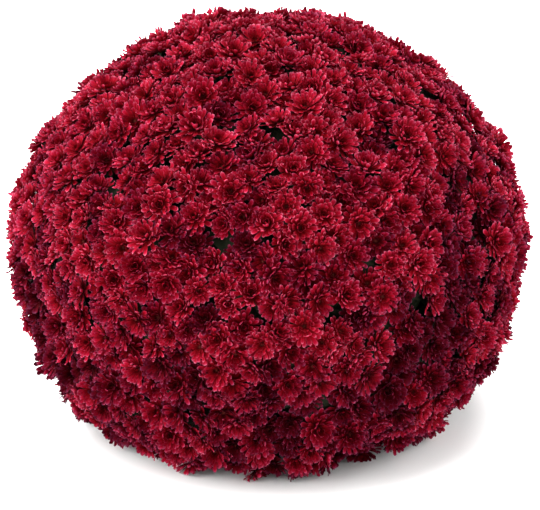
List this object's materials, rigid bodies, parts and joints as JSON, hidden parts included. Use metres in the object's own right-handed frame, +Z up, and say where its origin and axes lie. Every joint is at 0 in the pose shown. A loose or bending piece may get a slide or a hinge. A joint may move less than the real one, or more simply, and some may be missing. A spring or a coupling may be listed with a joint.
{
  "type": "cushion pompon chrysanthemum",
  "caption": "Ball-shaped cushion chrysanthemum covered all round in small dark crimson pompon blooms, on leafy branches from a cut woody crown.",
  "frame": {"origin": "centre of the crown's cut face, on the surface that the plant rests on", "axes": "+Z up through the top of the ball, -Y towards the side seen in the picture, +X to that side's right"},
  "size_m": [0.5178, 0.5185, 0.4112],
  "materials": {
    "bark": "matte",
    "foliage": "matte",
    "petals": "matte"
  },
  "bodies": {
    "root": {"crown": "bark", "spray_01_stem": "foliage", "spray_01_blooms": "petals", "spray_02_stem": "foliage", "spray_02_blooms": "petals", "spray_03_stem": "foliage", "spray_03_blooms": "petals", "spray_04_stem": "foliage", "spray_04_blooms": "petals", "spray_05_stem": "foliage", "spray_05_blooms": "petals", "spray_06_stem": "foliage", "spray_06_blooms": "petals", "spray_07_stem": "foliage", "spray_07_blooms": "petals", "spray_08_stem": "foliage", "spray_08_blooms": "petals", "spray_09_stem": "foliage", "spray_09_blooms": "petals", "spray_10_stem": "foliage", "spray_10_blooms": "petals", "spray_11_stem": "foliage", "spray_11_blooms": "petals", "spray_12_stem": "foliage", "spray_12_blooms": "petals"}
  },
  "joints": []
}
